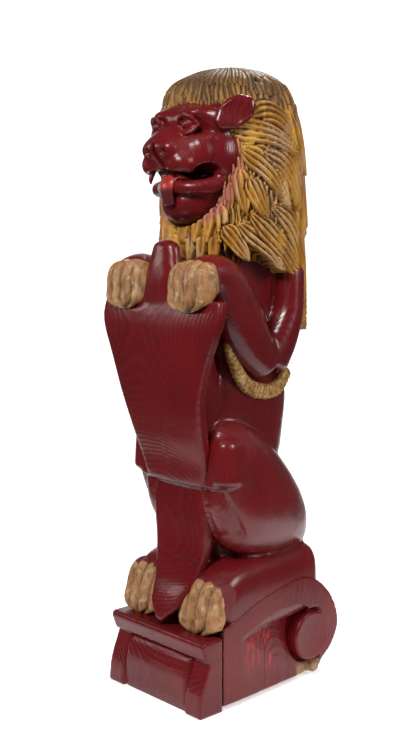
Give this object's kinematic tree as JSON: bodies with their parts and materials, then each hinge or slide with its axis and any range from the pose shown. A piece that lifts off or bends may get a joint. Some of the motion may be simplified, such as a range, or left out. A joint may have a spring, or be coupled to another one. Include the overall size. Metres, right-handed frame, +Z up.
{
  "type": "ship figurehead",
  "caption": "Carved wooden ship figurehead: a seated lion holding up a long curved shield, on a plinth with scroll boards at its sides.",
  "frame": {"origin": "centre of the plinth's underside", "axes": "+Z up, -Y the way the lion faces, +X to the lion's left"},
  "size_m": [0.44, 0.5285, 1.6],
  "materials": {
    "painted_figure": "glossy maroon paint over grained softwood, with worn gilding on the mane and bare tan paws",
    "painted_plinth": "glossy maroon paint over grained softwood, chipped at the edges",
    "painted_boards": "glossy maroon paint over grained softwood, with red touched-up strokes"
  },
  "bodies": {
    "root": {"lion": "painted_figure", "plinth": "painted_plinth", "left_scroll_board": "painted_boards", "right_scroll_board": "painted_boards"}
  },
  "joints": []
}
